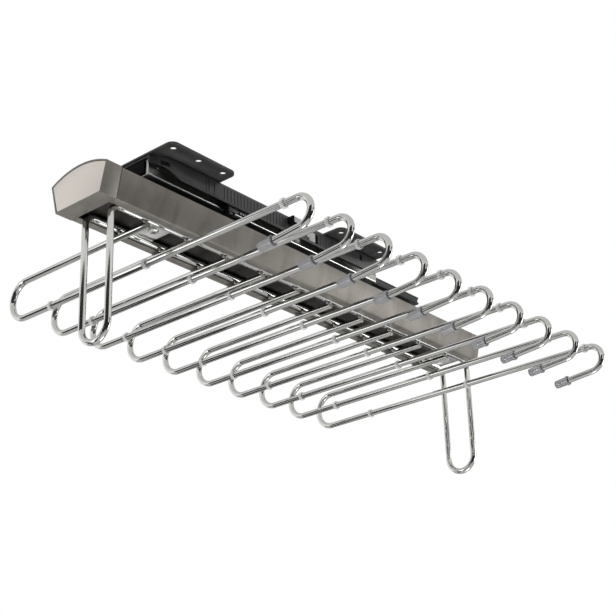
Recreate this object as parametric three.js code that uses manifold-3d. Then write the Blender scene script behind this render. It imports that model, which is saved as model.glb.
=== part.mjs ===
// A pull-out trouser rack that screws up under a shelf: a steel bracket carries a telescopic ball
// slide, the slide carries a beam, and ten bent wire hangers are welded to a wire frame in the beam.
// Millimetres. X runs across the rack to the open hooks, -Y is the way it pulls out, +Z is up.
// The origin is the middle of the front mounting plate's top face.
import * as THREE from 'three';
import { mergeVertices } from 'three/addons/utils/BufferGeometryUtils.js';
import Module from 'manifold-3d';

const wasm = await Module();
wasm.setup();

// Clearances
const seatGap = 0.3; // between pieces that are seated on each other
const runningGap = 0.1; // between a ball and its race
const weldSink = 0.3; // how far welded pieces run into each other
const cutOverrun = 1; // how far a cutter passes through the face it opens
const vertexMerge = 1e-4; // vertices closer than this are one

// Mounting bracket: two plates welded on an inverted channel
const plateThickness = 1.5;
const plateCornerRadius = 6;
const plateSpacing = 185.4; // middle of the front plate to middle of the rear plate
const screwHoleDiameter = 5;
const screwHolePitch = 25;
const screwHolesPerSide = 3;
const screwHoleOffset = 9.2; // from the channel's wall to the row beside it
const screwHoleMargin = 7.3; // from a row to the plate's side edge
const screwHoleEndMargin = 8; // from the last hole of a row to the plate's end
const channelWidth = 66;
const channelHeight = 14.5;
const channelLength = 260;
const channelWall = 1.5;
const channelBendRadius = 2.5;
const channelMouthClearance = 0.75; // beside the rail where the walls curve in at the front end
const channelMouthDepth = 18; // of the curved part
const channelFrontOffset = 32; // front end of the channel ahead of the front plate's middle
const cheekLength = 27; // how far the walls are cut back at their lower corners
const cheekDepth = 6.5; // of wall left at its very end
const cheekBulge = 9.5; // depth that the cut corner curves towards
const slotLength = 7; // of the pressed slot in the curved part of each wall
const slotHeight = 4;
const slotSetback = 6;
const slotDrop = 2.5; // upper edge of the slot below the web
const padLength = 12;
const padWidth = 52;
const padSetback = 146; // middle of the raised pad behind the channel's front end
const padFlank = 2;
const windowLength = 7;
const windowHeight = 8;
const windowSetback = 167;
const windowDrop = 3.5; // upper edge of the wall window below the web

// Telescopic slide: two lipped rails face each other and a hollow double-headed rail runs in both
const railWidth = 45.5;
const railHeight = 12.7;
const railSheet = 1.5;
const railBendRadius = 1.5; // to the middle of the sheet
const railSlot = 25; // open width between the lips
const fixedRailLength = 260;
const fixedRailSetback = 1.5; // behind the channel's front end
const ballDiameter = 4.8;
const ballOffset = 0.25; // balls' centres past the middle of their rail's height
const raceAngle = 28; // degrees of race on each side of the ball's level
const railSpread = 10.9; // open height between the lips of the two rails
const middleRailLength = 326;
const middleRailSetback = 2; // behind the channel's front end
const headStandoff = 1.15; // of a head's side from the balls' centres
const headClearance = 1.35; // of a head above and below, on average, inside its rail
const headChamfer = 0.8;
const neckHalfWidth = 10;
const middleRailWall = 2;
const cageLength = 134;
const cageSheet = 0.8;
const cageLegDrop = 3.4; // below the balls' centres
const ballsPerRow = 6;
const cageEndMargin = 9; // from the end of the cage to the first ball
const upperCageSetback = 98; // behind the channel's front end
const lowerCageSetback = 132;

// Beam and its front cap
const beamSideClearance = 1.2; // beside the carriage rail where it lies on the web
const beamSideLean = 5.7; // how far each side leans in from the top to the bottom
const beamWall = 1.6;
const beamLipClearance = 0.75; // between a lip and the rod beside it
const beamCornerRadius = 1.6;
const beamWebDrop = 14.3; // top of the web below the top of the beam
const beamFrontOffset = 28; // front end of the beam ahead of the channel's front end
const beamRearOverhang = 2.5; // behind the last loop of the wire frame
const capDepth = 14.5;
const capShoulder = 0.9; // how far the cap's sides stand above the beam
const capRise = 7.1; // of the arched top above the cap's sides
const capWall = 2;
const capRim = 1.1;
const facePlateThickness = 1.5;
const facePlateInset = 0.35; // of the plate's front behind the rim

// Wire frame: one closed wire with a hanging loop at each end and two welded screw plates
const frameWire = 5;
const rodSpacing = 26.5;
const rodStandout = 0.2; // below the beam's lips
const frameSetback = 4.1; // first loop behind the front end of the beam
const frameDrop = 99.9; // loop bottoms below the rods
const frameBendRadius = 8;
const screwPlateLength = 22;
const screwPlateThickness = 1.5;
const screwPlateSetback = 52; // middle of the front plate behind the first loop
const rearScrewPlateSetback = 14.3; // middle of the rear plate ahead of the last loop
const plateScrewDiameter = 4.5;
const dishDiameter = 13;

// Hangers, their end caps and their grip rings
const hangerCount = 10;
const hangerPitch = 40;
const hangerSetback = 32.6; // first hanger behind the first loop
const hangerMargin = 32.8; // last hanger ahead of the last loop
const hangerWire = 5;
const hairpinReach = 134.8; // hairpin's outermost centre line from the middle of the rack
const hookReach = 165.6; // hook's outermost centre line from the middle of the rack
const hairpinRadius = 15.35;
const hookRadius = 10.65;
const upperLegOverhang = 1.8; // past the near rod's centre
const freeLegTilt = 5; // degrees below level
const freeLegLength = 22.4; // from the hook to the mouth of the end cap
const capLength = 12.6;
const tipWall = 0.6; // of an end cap around the wire
const collarRise = 0.5; // of its collar above its side
const collarLength = 2.2;
const capFloor = 1.6;
const ringWidth = 3.2;
const ringWall = 1.4;
const hairpinRingMargin = 30.45; // usual place of the first ring from the hairpin's end of the long leg
const middleRingOffset = 19; // of the second ring from the middle of the rack
const hookRingMargin = 8.95; // of the third ring from the hook's end of the long leg
const ringDriftShares = [
  [0.1, -0.5, -0.3],
  [0.1, 0, 0.1],
  [-0.5, 0, -0.6],
  [-0.3, -0.3, -0.1],
  [-0.1, 0.1, 0.5],
  [-0.4, 0, 0.4],
  [0, 0, 0.2],
  [0.2, 0.1, -0.2],
  [0.8, 0.4, -0.5],
  [1.6, 1.5, 0.5],
];
const ringDrift = 10; // how far a ring with a share of one sits from its usual place

// Facets
const wireSides = 10;
const bendSteps = 10; // per half turn
const ringSides = 8;
const ballBands = 5;
const cornerSteps = 3;
const holeSteps = 5; // per half turn
const contourSteps = 5; // per curve

// Colours and finishes
const black = { color: 0x2b2b2d, roughness: 0.5, metalness: 0.6 };
const zinc = { color: 0xa9abad, roughness: 0.4, metalness: 0.9 };
const nickel = { color: 0x6f6a65, roughness: 0.35, metalness: 0.8 };
const champagne = { color: 0xcfc7c0, roughness: 0.3, metalness: 0.7 };
const chrome = { color: 0xd8d9da, roughness: 0.08, metalness: 1 };
const greyPlastic = { color: 0x8f9094, roughness: 0.45, metalness: 0 };
const clearSilicone = { color: 0xe8e8e8, roughness: 0.3, metalness: 0 };

// Widths, heights and depths that follow from the sizes above
const screwHoleSpan = channelWidth + screwHoleOffset * 2;
const plateWidth = screwHoleSpan + screwHoleMargin * 2;
const plateLength = (screwHolesPerSide - 1) * screwHolePitch + screwHoleEndMargin * 2;
const channelMouthWidth = railWidth + (channelMouthClearance + channelWall) * 2;
const channelTop = -plateThickness;
const webUnderside = channelTop - channelWall;
const channelFront = -channelFrontOffset;
const fixedRailTop = webUnderside - seatGap;
const raceRadius = ballDiameter / 2 + runningGap;
const ballReach = railWidth / 2 - railSheet - raceRadius;
const ballDrop = railHeight / 2 + ballOffset;
const headHeight = railHeight - (railSheet + headClearance) * 2;
const headHalfWidth = ballReach - headStandoff;
const sideReach = ballReach + (raceRadius + railSheet / 2) * Math.cos(THREE.MathUtils.degToRad(raceAngle));
const upperBallLevel = fixedRailTop - ballDrop;
const carriageRailBottom = fixedRailTop - railHeight * 2 - railSpread;
const lowerBallLevel = carriageRailBottom + ballDrop;
const beamWebTop = carriageRailBottom - seatGap;
const beamTop = beamWebTop + beamWebDrop;
const beamFront = channelFront - beamFrontOffset;
const beamWebUnderside = beamWebTop - beamWall;
const frameFront = beamFront + frameSetback;
const firstHanger = frameFront + hangerSetback;
const lastHanger = firstHanger + (hangerCount - 1) * hangerPitch;
const frameRear = lastHanger + hangerMargin;
const beamRear = frameRear + beamRearOverhang;
const screwPlateTop = beamWebUnderside - seatGap;
const rodLevel = screwPlateTop - screwPlateThickness + weldSink - frameWire / 2;
const beamBottom = rodLevel - frameWire / 2 + rodStandout;
const beamHeight = beamTop - beamBottom;
const beamWebHalfWidth = railWidth / 2 + beamSideClearance + beamWall;
const beamTopWidth = (beamWebHalfWidth + (beamSideLean * beamWebDrop) / beamHeight) * 2;
const beamBottomWidth = beamTopWidth - beamSideLean * 2;
const upperLegLevel = rodLevel - frameWire / 2 - seatGap - hangerWire / 2;
const longLegLevel = upperLegLevel - hairpinRadius * 2;
const capDiameter = hangerWire + (seatGap + tipWall) * 2;
const collarDiameter = capDiameter + collarRise * 2;
const ringPlaces = [
  hairpinRadius - hairpinReach + hairpinRingMargin,
  middleRingOffset,
  hookReach - hookRadius - hookRingMargin,
];

const halfTurn = Math.PI;
const quarterTurn = Math.PI / 2;

// A closed mesh as a solid that can be joined and cut.
function solidOf(geometry) {
  const bare = geometry.index ? geometry.toNonIndexed() : geometry.clone();
  bare.deleteAttribute('normal');
  bare.deleteAttribute('uv');
  const merged = mergeVertices(bare, vertexMerge);
  return new wasm.Manifold(
    new wasm.Mesh({
      numProp: 3,
      vertProperties: merged.attributes.position.array,
      triVerts: new Uint32Array(merged.index.array),
    }),
  );
}

function geometryOf(solid) {
  const mesh = solid.getMesh();
  const geometry = new THREE.BufferGeometry();
  geometry.setAttribute('position', new THREE.BufferAttribute(mesh.vertProperties, 3));
  geometry.setIndex(new THREE.BufferAttribute(mesh.triVerts, 1));
  const flat = geometry.toNonIndexed();
  flat.computeVertexNormals();
  return flat;
}

function joined(first, ...others) {
  return others.reduce((whole, geometry) => whole.add(solidOf(geometry)), solidOf(first));
}

function cutBy(solid, ...tools) {
  return tools.reduce((rest, tool) => rest.subtract(solidOf(tool)), solid);
}

// A section drawn in X and Z, drawn out along Y.
function alongY(shape, front, rear) {
  const depth = rear - front;
  const options = { depth, bevelEnabled: false, curveSegments: contourSteps };
  const geometry = new THREE.ExtrudeGeometry(shape, options);
  return geometry.rotateX(quarterTurn).translate(0, rear, 0);
}

// An outline drawn in Y and Z, drawn out along X.
function alongX(shape, left, right) {
  const geometry = new THREE.ExtrudeGeometry(shape, { depth: right - left, bevelEnabled: false });
  return geometry.rotateX(quarterTurn).rotateZ(quarterTurn).translate(left, 0, 0);
}

// An outline drawn in X and Y, drawn out upwards.
function alongZ(shape, bottom, top) {
  const depth = top - bottom;
  const options = { depth, bevelEnabled: false, curveSegments: holeSteps };
  const geometry = new THREE.ExtrudeGeometry(shape, options);
  return geometry.translate(0, 0, bottom);
}

function box(left, right, front, rear, bottom, top) {
  const geometry = new THREE.BoxGeometry(right - left, rear - front, top - bottom);
  return geometry.translate((left + right) / 2, (front + rear) / 2, (bottom + top) / 2);
}

function upright(radius, x, y, bottom, top, sides) {
  const geometry = new THREE.CylinderGeometry(radius, radius, top - bottom, sides);
  return geometry.rotateX(quarterTurn).translate(x, y, (bottom + top) / 2);
}

function mirroredAcross(points) {
  const left = points.map((p) => new THREE.Vector2(-p.x, p.y)).reverse();
  return [...points, ...left];
}

// The outline of a sheet of even thickness bent along a centre line.
function sheetOutline(line, thickness) {
  const sides = [[], []];
  line.forEach((point, i) => {
    const before = line[Math.max(i - 1, 0)];
    const after = line[Math.min(i + 1, line.length - 1)];
    const inward = i > 0 ? point.clone().sub(before).normalize() : after.clone().sub(point).normalize();
    const outward = i < line.length - 1 ? after.clone().sub(point).normalize() : inward;
    const along = inward.clone().add(outward).normalize();
    const reach = thickness / 2 / along.dot(outward);
    const normal = new THREE.Vector2(-along.y, along.x).multiplyScalar(reach);
    sides[0].push(point.clone().add(normal));
    sides[1].push(point.clone().sub(normal));
  });
  return [...sides[0], ...sides[1].reverse()];
}

function arcPoints(x, y, radius, from, to, steps) {
  return new THREE.EllipseCurve(x, y, radius, radius, from, to, to < from).getPoints(steps);
}

// The centre line of a bent wire: straight runs and round bends, with a station at each end of a
// run and evenly through each bend, so that straight runs stay a single facet long.
class BentWire extends THREE.Curve {
  constructor(start, heading) {
    super();
    this.stations = [{ point: start.clone(), heading: heading.clone().normalize() }];
  }

  get last() {
    return this.stations[this.stations.length - 1];
  }

  run(length) {
    const { point, heading } = this.last;
    const end = point.clone().addScaledVector(heading, length);
    this.stations.push({ point: end, heading: heading.clone() });
    return this;
  }

  // Turns towards the given side through an angle on a given centre-line radius.
  bend(side, radius, angle) {
    const { point, heading } = this.last;
    const inward = side.clone().normalize();
    const steps = Math.max(2, Math.round((bendSteps * angle) / halfTurn));
    for (let i = 1; i <= steps; i += 1) {
      const turned = (angle * i) / steps;
      const place = point
        .clone()
        .addScaledVector(heading, radius * Math.sin(turned))
        .addScaledVector(inward, radius * (1 - Math.cos(turned)));
      const along = heading.clone().multiplyScalar(Math.cos(turned));
      this.stations.push({ point: place, heading: along.addScaledVector(inward, Math.sin(turned)) });
    }
    return this;
  }

  station(share) {
    return this.stations[Math.round(share * (this.stations.length - 1))];
  }

  getPointAt(share) {
    return this.station(share).point.clone();
  }

  getTangentAt(share) {
    return this.station(share).heading.clone();
  }

  tube(diameter) {
    const section = new THREE.Shape(arcPoints(0, 0, diameter / 2, 0, halfTurn * 2, wireSides).slice(1));
    const steps = this.stations.length - 1;
    return new THREE.ExtrudeGeometry(section, { steps, extrudePath: this, bevelEnabled: false });
  }
}

const left = new THREE.Vector3(-1, 0, 0);
const right = new THREE.Vector3(1, 0, 0);
const rearward = new THREE.Vector3(0, 1, 0);
const forward = new THREE.Vector3(0, -1, 0);
const up = new THREE.Vector3(0, 0, 1);
const down = new THREE.Vector3(0, 0, -1);

const rack = new THREE.Group();

function addPart(name, geometry, finish, parent = rack) {
  const mesh = new THREE.Mesh(geometry, new THREE.MeshStandardMaterial(finish));
  mesh.name = name;
  parent.add(mesh);
  return mesh;
}

// Bracket

function mountingPlate(middle) {
  const x = plateWidth / 2 - plateCornerRadius;
  const y = plateLength / 2 - plateCornerRadius;
  const outline = new THREE.Shape();
  outline.absarc(x, middle + y, plateCornerRadius, 0, quarterTurn);
  outline.absarc(-x, middle + y, plateCornerRadius, quarterTurn, halfTurn);
  outline.absarc(-x, middle - y, plateCornerRadius, halfTurn, halfTurn + quarterTurn);
  outline.absarc(x, middle - y, plateCornerRadius, -quarterTurn, 0);
  for (const side of [-1, 1]) {
    for (let i = 0; i < screwHolesPerSide; i += 1) {
      const along = middle + (i - (screwHolesPerSide - 1) / 2) * screwHolePitch;
      const hole = new THREE.Path();
      hole.absarc((side * screwHoleSpan) / 2, along, screwHoleDiameter / 2, 0, halfTurn * 2);
      outline.holes.push(hole);
    }
  }
  return alongZ(outline, channelTop, 0);
}

// A block with the channel's rounded upper corners and its plan, in which both sides curve in
// towards the front end. The block cut out of it has the same form, a wall smaller.
function channelBlock(inset, overrun) {
  const foot = channelTop - channelHeight - overrun;
  const top = inset > 0 ? webUnderside : channelTop + weldSink;
  const rear = channelFront + channelLength + overrun;
  const reach = channelWidth / 2 - inset;
  const mouth = channelMouthWidth / 2 - inset;
  const shoulder = channelFront + channelMouthDepth;
  const r = channelBendRadius - inset;

  const corner = arcPoints(reach - r, top - r, r, 0, quarterTurn, cornerSteps);
  const section = new THREE.Shape(mirroredAcross([new THREE.Vector2(reach, foot), ...corner]));
  const plan = new THREE.Shape();
  plan.moveTo(mouth, channelFront - overrun);
  plan.lineTo(mouth, channelFront);
  plan.quadraticCurveTo(reach, channelFront + channelMouthDepth / 3, reach, shoulder);
  plan.lineTo(reach, rear);
  plan.lineTo(-reach, rear);
  plan.lineTo(-reach, shoulder);
  plan.quadraticCurveTo(-reach, channelFront + channelMouthDepth / 3, -mouth, channelFront);
  plan.lineTo(-mouth, channelFront - overrun);
  return solidOf(alongY(section, channelFront - overrun, rear)).intersect(solidOf(alongZ(plan, foot, top)));
}

// The lower corners of the channel's walls are cut back on a curve.
function channelEndCutter(end, inward) {
  const foot = channelTop - channelHeight - cutOverrun;
  const shoulder = channelTop - cheekDepth;
  const toe = end + inward * cheekLength;
  const outline = new THREE.Shape();
  outline.moveTo(end - inward * cutOverrun, foot);
  outline.lineTo(end - inward * cutOverrun, shoulder);
  outline.lineTo(end, shoulder);
  outline.quadraticCurveTo((end + toe) / 2, channelTop - cheekBulge, toe, foot);
  return alongX(outline, -channelWidth / 2 - cutOverrun, channelWidth / 2 + cutOverrun);
}

function supportPad() {
  const middle = channelFront + padSetback;
  const outline = new THREE.Shape();
  outline.moveTo(middle - padLength / 2, channelTop - weldSink);
  outline.lineTo(middle + padLength / 2, channelTop - weldSink);
  outline.lineTo(middle + padLength / 2 - padFlank, 0);
  outline.lineTo(middle - padLength / 2 + padFlank, 0);
  return alongX(outline, -padWidth / 2, padWidth / 2);
}

// An opening pressed straight through both walls.
function wallOpening(setback, drop, length, height) {
  const reach = channelWidth / 2 + cutOverrun;
  const front = channelFront + setback;
  const top = webUnderside - drop;
  return box(-reach, reach, front, front + length, top - height, top);
}

function mountingBracket() {
  const channel = channelBlock(0, 0).subtract(channelBlock(channelWall, cutOverrun));
  const plates = joined(mountingPlate(0), mountingPlate(plateSpacing), supportPad());
  return geometryOf(
    cutBy(
      channel.add(plates),
      channelEndCutter(channelFront, 1),
      channelEndCutter(channelFront + channelLength, -1),
      wallOpening(slotSetback, slotDrop, slotLength, slotHeight),
      wallOpening(windowSetback, windowDrop, windowLength, windowHeight),
    ),
  );
}

// Telescopic slide

// Half of a lipped rail's centre line, from the middle of the web to the end of the lip.
function railSection() {
  const race = THREE.MathUtils.degToRad(raceAngle);
  const mid = railSheet / 2;
  const bend = sideReach - railBendRadius;
  const foot = mid - railHeight;
  const half = [
    new THREE.Vector2(railSlot / 2, foot),
    ...arcPoints(bend, foot + railBendRadius, railBendRadius, -quarterTurn, 0, cornerSteps),
    ...arcPoints(ballReach, -ballDrop, raceRadius + mid, -race, race, cornerSteps * 2),
    ...arcPoints(bend, -mid - railBendRadius, railBendRadius, 0, quarterTurn, cornerSteps),
  ];
  return new THREE.Shape(sheetOutline(mirroredAcross(half), railSheet));
}

function fixedRail() {
  const front = channelFront + fixedRailSetback;
  return alongY(railSection(), front, front + fixedRailLength).translate(0, 0, fixedRailTop);
}

function carriageRail() {
  return alongY(railSection(), beamFront, beamRear)
    .rotateY(halfTurn)
    .translate(0, 0, carriageRailBottom);
}

// The ball groove in the side of a head, without its two edges.
function ballGroove(level, edge, away) {
  const from = edge * away;
  const to = (halfTurn * 2 - edge) * away;
  return arcPoints(ballReach, level, raceRadius, from, to, cornerSteps * 2).slice(1, -1);
}

// One side of the middle rail: a head with a ball groove at each level, and the neck between them.
function middleRailSide() {
  const span = headHalfWidth - ballReach;
  const groove = Math.acos(span / raceRadius);
  const notch = raceRadius * Math.sin(groove);
  const side = [];
  for (const level of [upperBallLevel, lowerBallLevel]) {
    const outer = level + (Math.sign(level - lowerBallLevel || -1) * headHeight) / 2;
    const inner = level * 2 - outer;
    const away = Math.sign(outer - level);
    const head = [
      new THREE.Vector2(headHalfWidth - headChamfer, outer),
      new THREE.Vector2(headHalfWidth, outer - away * headChamfer),
      new THREE.Vector2(headHalfWidth, level + away * notch),
      ...ballGroove(level, groove, away),
      new THREE.Vector2(headHalfWidth, level - away * notch),
      new THREE.Vector2(headHalfWidth, inner + away * headChamfer),
      new THREE.Vector2(headHalfWidth - headChamfer, inner),
      new THREE.Vector2(neckHalfWidth, inner),
    ];
    side.push(...(away > 0 ? head : head.reverse()));
  }
  return side;
}

function middleRail() {
  const shape = new THREE.Shape(mirroredAcross(middleRailSide()));
  const hollow = neckHalfWidth - middleRailWall;
  const ceiling = upperBallLevel + headHeight / 2 - middleRailWall;
  const floor = lowerBallLevel - headHeight / 2 + middleRailWall;
  const bore = new THREE.Path();
  bore.moveTo(-hollow, floor);
  bore.lineTo(hollow, floor);
  bore.lineTo(hollow, ceiling);
  bore.lineTo(-hollow, ceiling);
  shape.holes.push(bore);
  const front = channelFront + middleRailSetback;
  return alongY(shape, front, front + middleRailLength);
}

// A bent strip over the rail's head with a row of balls snapped into each leg.
function ballCage(front, ballLevel, upwards) {
  const legReach = ballReach;
  const strip = ballLevel + (upwards * (headHeight + (ballDrop - railSheet - headHeight / 2))) / 2;
  const foot = ballLevel - upwards * cageLegDrop;
  const half = [
    new THREE.Vector2(legReach, foot),
    new THREE.Vector2(legReach, strip - upwards * cageSheet),
    new THREE.Vector2(legReach - cageSheet, strip),
  ];
  const section = new THREE.Shape(sheetOutline(mirroredAcross(half), cageSheet));
  const pitch = (cageLength - cageEndMargin * 2) / (ballsPerRow - 1);
  const balls = [];
  for (const side of [-1, 1]) {
    for (let i = 0; i < ballsPerRow; i += 1) {
      const ball = new THREE.SphereGeometry(ballDiameter / 2, ringSides, ballBands);
      ball.rotateX(quarterTurn);
      balls.push(ball.translate(side * ballReach, front + cageEndMargin + i * pitch, ballLevel));
    }
  }
  return geometryOf(joined(alongY(section, front, front + cageLength), ...balls));
}

// Beam, cap and face

function beamHalfWidth(level) {
  const share = (beamTop - level) / beamHeight;
  return THREE.MathUtils.lerp(beamTopWidth, beamBottomWidth, share) / 2;
}

function beamSection() {
  const r = beamCornerRadius;
  const foot = beamHalfWidth(beamBottom + r);
  const lipTop = beamBottom + beamWall;
  const lipEnd = rodSpacing / 2 + frameWire / 2 + beamLipClearance;
  const half = [
    new THREE.Vector2(beamHalfWidth(beamWebTop) - beamWall, beamWebTop),
    new THREE.Vector2(beamTopWidth / 2 - beamWall, beamTop),
    new THREE.Vector2(beamTopWidth / 2, beamTop),
    ...arcPoints(foot - r, beamBottom + r, r, 0, -quarterTurn, cornerSteps),
    new THREE.Vector2(lipEnd, beamBottom),
    new THREE.Vector2(lipEnd, lipTop),
    new THREE.Vector2(beamHalfWidth(lipTop) - beamWall, lipTop),
    new THREE.Vector2(beamHalfWidth(beamWebUnderside) - beamWall, beamWebUnderside),
  ];
  return new THREE.Shape(mirroredAcross(half));
}

function beam() {
  const solid = solidOf(alongY(beamSection(), beamFront, beamRear));
  const radius = plateScrewDiameter / 2;
  const bores = screwPlateMiddles().map((y) => upright(radius, 0, y, screwPlateTop, beamTop, ringSides));
  return geometryOf(cutBy(solid, ...bores));
}

// The cap's outline: the beam's leaning sides closed by a flat bottom and an arched top.
function capOutline(inset) {
  const foot = beamBottomWidth / 2 - inset;
  const shoulder = beamTopWidth / 2 - inset;
  const radius = ((beamTopWidth / 2) ** 2 + capRise ** 2) / (capRise * 2);
  const centre = beamTop + capShoulder + capRise - radius;
  const arc = radius - inset;
  const spring = Math.asin(shoulder / arc);
  const outline = new THREE.Shape();
  outline.moveTo(-foot, beamBottom + inset);
  outline.lineTo(foot, beamBottom + inset);
  outline.absarc(0, centre, arc, quarterTurn - spring, quarterTurn + spring);
  return outline;
}

function frontCap() {
  const rear = beamFront - seatGap;
  const front = rear - capDepth;
  const recess = facePlateInset + facePlateThickness + seatGap;
  const solid = solidOf(alongY(capOutline(0), front, rear));
  return geometryOf(
    cutBy(
      solid,
      alongY(capOutline(capRim), front - cutOverrun, front + recess),
      alongY(capOutline(capWall), front + recess + capWall, rear + cutOverrun),
    ),
  );
}

function frontFace() {
  const front = beamFront - seatGap - capDepth + facePlateInset;
  return alongY(capOutline(capRim + seatGap), front, front + facePlateThickness);
}

// Wire frame

function screwPlateMiddles() {
  return [frameFront + screwPlateSetback, frameRear - rearScrewPlateSetback];
}

// Half of the closed wire: one hanging loop and most of one rod, or of the other when turned round.
function frameHalf(y, side) {
  const away = side > 0 ? rearward : forward;
  const across = side > 0 ? right : left;
  const radius = rodSpacing / 2;
  const leg = frameDrop - frameBendRadius - radius;
  const start = new THREE.Vector3((-side * rodSpacing) / 2, y, rodLevel - frameBendRadius);
  return new BentWire(start, down)
    .run(leg)
    .bend(across, radius, halfTurn)
    .run(leg)
    .bend(away, frameBendRadius, quarterTurn)
    .run(frameRear - frameFront - frameBendRadius * 2)
    .bend(down, frameBendRadius, quarterTurn)
    .run(weldSink);
}

function screwPlate(middle) {
  const solid = solidOf(
    box(
      -rodSpacing / 2,
      rodSpacing / 2,
      middle - screwPlateLength / 2,
      middle + screwPlateLength / 2,
      screwPlateTop - screwPlateThickness,
      screwPlateTop,
    ),
  );
  const bore = upright(plateScrewDiameter / 2, 0, middle, rodLevel, beamTop, ringSides);
  const depth = screwPlateThickness / 2;
  const dish = new THREE.CylinderGeometry(plateScrewDiameter / 2, dishDiameter / 2, depth, bendSteps);
  dish.rotateX(quarterTurn);
  dish.translate(0, middle, screwPlateTop - screwPlateThickness);
  return geometryOf(cutBy(solid, bore, dish));
}

function wireFrame() {
  const [front, rear] = screwPlateMiddles();
  return geometryOf(
    joined(
      frameHalf(frameFront, 1).tube(frameWire),
      frameHalf(frameRear, -1).tube(frameWire),
      screwPlate(front),
      screwPlate(rear),
    ),
  );
}

// Hangers

function hangerWirePath(y) {
  const hairpin = hairpinRadius - hairpinReach;
  const start = new THREE.Vector3(rodSpacing / 2 + upperLegOverhang, y, upperLegLevel);
  const hookTurn = halfTurn - THREE.MathUtils.degToRad(freeLegTilt);
  return new BentWire(start, left)
    .run(start.x - hairpin)
    .bend(down, hairpinRadius, halfTurn)
    .run(hookReach - hookRadius - hairpin)
    .bend(down, hookRadius, hookTurn)
    .run(freeLegLength);
}

function hanger(y) {
  return hangerWirePath(y).run(capLength - capFloor - seatGap).tube(hangerWire);
}

// A moulded end cap, turned about the free leg: a collar at the mouth, a blind bore and a round nose.
function endCap() {
  const bore = hangerWire / 2 + seatGap;
  const outer = capDiameter / 2;
  const collar = collarDiameter / 2;
  const profile = [
    [0, capLength - capFloor],
    [bore, capLength - capFloor],
    [bore, 0],
    [collar, 0],
    [collar, collarLength],
    [outer, collarLength],
    [outer, capLength - capFloor / 2],
    [outer - capFloor / 2, capLength],
    [0, capLength],
  ];
  return new THREE.LatheGeometry(profile.map(([r, h]) => new THREE.Vector2(r, h)), wireSides);
}

function gripRing() {
  const inner = hangerWire / 2 + seatGap;
  const outer = hangerWire / 2 + ringWall;
  const edge = outer - ringWidth / 4;
  const profile = [
    [inner, -ringWidth / 2],
    [edge, -ringWidth / 2],
    [outer, 0],
    [edge, ringWidth / 2],
    [inner, ringWidth / 2],
    [inner, -ringWidth / 2],
  ];
  return new THREE.LatheGeometry(profile.map(([r, h]) => new THREE.Vector2(r, h)), ringSides);
}

function addHanger(number) {
  const y = firstHanger + (number - 1) * hangerPitch;
  const label = String(number).padStart(2, '0');
  addPart(`hanger_${label}`, hanger(y), chrome);

  const mouth = hangerWirePath(y).last;
  const cap = addPart(`end_cap_${label}`, endCap(), greyPlastic);
  cap.position.copy(mouth.point);
  cap.quaternion.setFromUnitVectors(rearward, mouth.heading);

  ringPlaces.forEach((place, i) => {
    const ring = addPart(`grip_ring_${label}_${i + 1}`, gripRing(), clearSilicone);
    ring.position.set(place + ringDriftShares[number - 1][i] * ringDrift, y, longLegLevel);
    ring.rotation.z = quarterTurn;
  });
}

addPart('mounting_bracket', mountingBracket(), black);
addPart('slide_fixed_rail', fixedRail(), zinc);
addPart('slide_middle_rail', middleRail(), black);
addPart('slide_carriage_rail', carriageRail(), zinc);
addPart('ball_cage_upper', ballCage(channelFront + upperCageSetback, upperBallLevel, 1), zinc);
addPart('ball_cage_lower', ballCage(channelFront + lowerCageSetback, lowerBallLevel, -1), zinc);
addPart('beam', beam(), nickel);
addPart('front_cap', frontCap(), nickel);
addPart('front_face', frontFace(), champagne);
addPart('wire_frame', wireFrame(), chrome);
for (let number = 1; number <= hangerCount; number += 1) {
  addHanger(number);
}

export default rack;
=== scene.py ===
import math

import bmesh
import bpy
from mathutils import Matrix, Vector


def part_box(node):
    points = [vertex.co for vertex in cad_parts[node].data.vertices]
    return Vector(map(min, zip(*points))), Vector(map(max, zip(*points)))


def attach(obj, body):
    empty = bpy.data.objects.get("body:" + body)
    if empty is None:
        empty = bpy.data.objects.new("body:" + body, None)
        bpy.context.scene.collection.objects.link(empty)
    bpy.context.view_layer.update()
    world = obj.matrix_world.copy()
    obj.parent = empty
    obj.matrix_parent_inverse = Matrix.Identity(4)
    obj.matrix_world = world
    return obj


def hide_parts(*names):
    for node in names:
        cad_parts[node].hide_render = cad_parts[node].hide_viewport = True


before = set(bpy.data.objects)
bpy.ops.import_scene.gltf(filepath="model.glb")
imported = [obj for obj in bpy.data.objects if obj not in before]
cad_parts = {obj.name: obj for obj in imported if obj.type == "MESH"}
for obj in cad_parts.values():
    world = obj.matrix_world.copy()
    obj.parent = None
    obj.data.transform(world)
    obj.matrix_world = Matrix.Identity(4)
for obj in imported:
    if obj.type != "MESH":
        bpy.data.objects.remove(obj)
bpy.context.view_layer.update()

# Hangers: ten lengths of 5 mm steel wire, each bent into a hairpin at the closed end and a hook at
# the open end, welded by the upper leg under the two rods of the wire frame, then chromed together.
wire_radius = 0.0025
hanger_count = 10
hanger_pitch = 0.040
first_hanger_y = -0.0233
upper_leg_z = -0.0508
upper_leg_end_x = 0.01505
hairpin_radius = 0.01535
hairpin_centre_x = -0.11945
hook_radius = 0.01065
hook_centre_x = 0.15495
free_leg_tilt = math.radians(5)
free_leg_length = 0.0331
long_leg_z = upper_leg_z - 2 * hairpin_radius
bend_points = 28  # per half turn
straight_length = 0.005  # what is longer counts as a straight
shading_margin = 0.0006

chrome_colour = (0.71, 0.71, 0.69, 1)
chrome_shade = (0.60, 0.60, 0.58, 1)


def add_node(tree, kind, place=(0, 0), **settings):
    node = tree.nodes.new(kind)
    node.location = place
    for name, value in settings.items():
        setattr(node, name, value)
    return node


def set_inputs(node, **values):
    for name, value in values.items():
        node.inputs[name.replace("_", " ")].default_value = value


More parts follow.
